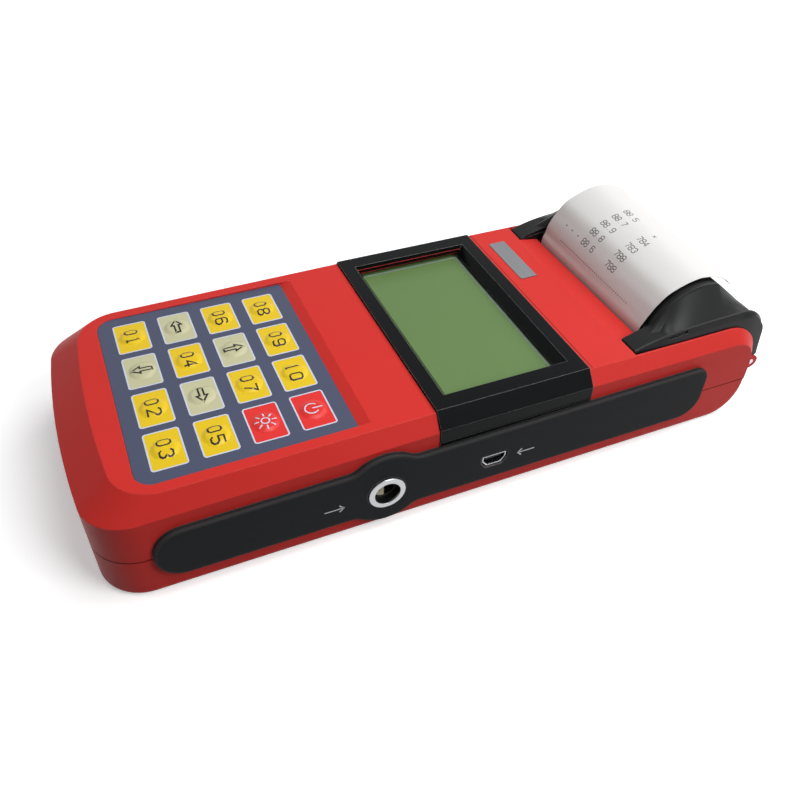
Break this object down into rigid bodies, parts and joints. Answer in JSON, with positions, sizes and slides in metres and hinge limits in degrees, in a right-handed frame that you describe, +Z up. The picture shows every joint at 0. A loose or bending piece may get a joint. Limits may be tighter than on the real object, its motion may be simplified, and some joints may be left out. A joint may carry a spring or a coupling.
{
  "type": "portable hardness tester",
  "caption": "Hand-held hardness tester: flat keypad, liquid crystal display, sensor socket and a strip printer under a hinged cover.",
  "frame": {"origin": "on the base, under the middle of the whole footprint", "axes": "+Y from the keypad end to the printer end, +X to the user's right where the sockets are, +Z up"},
  "size_m": [0.0895, 0.2144, 0.0516],
  "materials": {
    "red_housing": "moulded plastic, fine satin grain",
    "black_bezel": "glossy moulded plastic",
    "clear_lens": "clear display window",
    "lcd_glass": "green display panel",
    "circuit_board": "green circuit board",
    "silver_plate": "brushed blank plate",
    "keypad_film": "printed polyester film",
    "keypad_layers": "spacer and circuit film",
    "spring_steel": "bright steel",
    "grip_rubber": "moulded rubber",
    "plated_socket": "nickel plated",
    "cream_insert": "moulded insulator",
    "brass_contacts": "turned brass",
    "battery_wrap": "shrink sleeve",
    "black_cover": "moulded plastic, satin",
    "white_gear": "moulded plastic",
    "motor_can": "drawn steel can",
    "ceramic_head": "glazed ceramic print head",
    "head_sink": "pressed aluminium",
    "thermal_paper": "coated paper",
    "yellow_key": "printed embossed film",
    "ivory_key": "printed embossed film",
    "red_key": "printed embossed film"
  },
  "bodies": {
    "housing": {"lower_housing": "red_housing", "upper_housing": "red_housing", "display_bezel": "black_bezel", "display_lens": "clear_lens", "lcd_panel": "lcd_glass", "lcd_board": "circuit_board", "nameplate": "silver_plate", "keypad_film": "keypad_film", "keypad_spacer": "keypad_layers", "keypad_circuit": "keypad_layers", "snap_domes": "spring_steel", "grip_right": "grip_rubber", "grip_left": "grip_rubber", "socket_shell": "plated_socket", "socket_insert": "cream_insert", "socket_contacts": "brass_contacts", "socket_nut": "plated_socket", "usb_shell": "plated_socket", "usb_tongue": "black_cover", "main_board": "circuit_board", "battery_pack": "battery_wrap", "battery_door": "red_housing", "housing_screws": "spring_steel", "battery_door_screws": "spring_steel", "board_screws": "spring_steel", "printer_frame": "black_cover", "feed_motor": "motor_can", "thermal_head": "ceramic_head", "head_sink": "head_sink", "head_spring": "spring_steel", "paper_roll": "thermal_paper", "paper_core": "white_gear", "hinge_pin": "spring_steel"},
    "cover": {"printer_cover": "black_cover", "paper_strip": "thermal_paper"},
    "platen": {"platen_roller": "grip_rubber", "platen_shaft": "spring_steel", "platen_gear": "white_gear"},
    "idler": {"idler_gear": "white_gear"},
    "pinion": {"motor_pinion": "brass_contacts"},
    "key_enter_dome": {"key_enter": "yellow_key"},
    "key_left_dome": {"key_left": "ivory_key"},
    "key_exit_dome": {"key_exit": "yellow_key"},
    "key_print_dome": {"key_print": "yellow_key"},
    "key_up_dome": {"key_up": "ivory_key"},
    "key_menu_dome": {"key_menu": "yellow_key"},
    "key_down_dome": {"key_down": "ivory_key"},
    "key_feed_dome": {"key_feed": "yellow_key"},
    "key_delete_dome": {"key_delete": "yellow_key"},
    "key_right_dome": {"key_right": "ivory_key"},
    "key_store_dome": {"key_store": "yellow_key"},
    "key_backlight_dome": {"key_backlight": "red_key"},
    "key_material_dome": {"key_material": "yellow_key"},
    "key_scale_dome": {"key_scale": "yellow_key"},
    "key_direction_dome": {"key_direction": "yellow_key"},
    "key_power_dome": {"key_power": "red_key"}
  },
  "joints": [
    {"name": "cover_hinge", "type": "hinge", "parent": "housing", "child": "cover", "pos_m": [0, 0.1047, 0.0168], "axis": [-1, 0, 0], "range_deg": [0, 80]},
    {"name": "platen_spin", "type": "hinge", "parent": "cover", "child": "platen", "pos_m": [0, 0.0665, 0.0295], "axis": [1, 0, 0], "continuous": true},
    {"name": "idler_spin", "type": "hinge", "parent": "housing", "child": "idler", "pos_m": [0, 0.06271, 0.01811], "axis": [1, 0, 0], "continuous": true},
    {"name": "motor_spin", "type": "hinge", "parent": "housing", "child": "pinion", "pos_m": [0, 0.05381, 0.01452], "axis": [1, 0, 0], "continuous": true},
    {"name": "key_enter_press", "type": "slide", "parent": "housing", "child": "key_enter_dome", "axis": [0, 0, -1], "range_m": [0, 0.0004], "stiffness_N_per_m": 3000},
    {"name": "key_left_press", "type": "slide", "parent": "housing", "child": "key_left_dome", "axis": [0, 0, -1], "range_m": [0, 0.0004], "stiffness_N_per_m": 3000},
    {"name": "key_exit_press", "type": "slide", "parent": "housing", "child": "key_exit_dome", "axis": [0, 0, -1], "range_m": [0, 0.0004], "stiffness_N_per_m": 3000},
    {"name": "key_print_press", "type": "slide", "parent": "housing", "child": "key_print_dome", "axis": [0, 0, -1], "range_m": [0, 0.0004], "stiffness_N_per_m": 3000},
    {"name": "key_up_press", "type": "slide", "parent": "housing", "child": "key_up_dome", "axis": [0, 0, -1], "range_m": [0, 0.0004], "stiffness_N_per_m": 3000},
    {"name": "key_menu_press", "type": "slide", "parent": "housing", "child": "key_menu_dome", "axis": [0, 0, -1], "range_m": [0, 0.0004], "stiffness_N_per_m": 3000},
    {"name": "key_down_press", "type": "slide", "parent": "housing", "child": "key_down_dome", "axis": [0, 0, -1], "range_m": [0, 0.0004], "stiffness_N_per_m": 3000},
    {"name": "key_feed_press", "type": "slide", "parent": "housing", "child": "key_feed_dome", "axis": [0, 0, -1], "range_m": [0, 0.0004], "stiffness_N_per_m": 3000},
    {"name": "key_delete_press", "type": "slide", "parent": "housing", "child": "key_delete_dome", "axis": [0, 0, -1], "range_m": [0, 0.0004], "stiffness_N_per_m": 3000},
    {"name": "key_right_press", "type": "slide", "parent": "housing", "child": "key_right_dome", "axis": [0, 0, -1], "range_m": [0, 0.0004], "stiffness_N_per_m": 3000},
    {"name": "key_store_press", "type": "slide", "parent": "housing", "child": "key_store_dome", "axis": [0, 0, -1], "range_m": [0, 0.0004], "stiffness_N_per_m": 3000},
    {"name": "key_backlight_press", "type": "slide", "parent": "housing", "child": "key_backlight_dome", "axis": [0, 0, -1], "range_m": [0, 0.0004], "stiffness_N_per_m": 3000},
    {"name": "key_material_press", "type": "slide", "parent": "housing", "child": "key_material_dome", "axis": [0, 0, -1], "range_m": [0, 0.0004], "stiffness_N_per_m": 3000},
    {"name": "key_scale_press", "type": "slide", "parent": "housing", "child": "key_scale_dome", "axis": [0, 0, -1], "range_m": [0, 0.0004], "stiffness_N_per_m": 3000},
    {"name": "key_direction_press", "type": "slide", "parent": "housing", "child": "key_direction_dome", "axis": [0, 0, -1], "range_m": [0, 0.0004], "stiffness_N_per_m": 3000},
    {"name": "key_power_press", "type": "slide", "parent": "housing", "child": "key_power_dome", "axis": [0, 0, -1], "range_m": [0, 0.0004], "stiffness_N_per_m": 3000}
  ],
  "couplings": [
    {"joint": "idler_spin", "follows": "platen_spin", "ratio": -0.81818},
    {"joint": "motor_spin", "follows": "platen_spin", "ratio": 1.8}
  ]
}
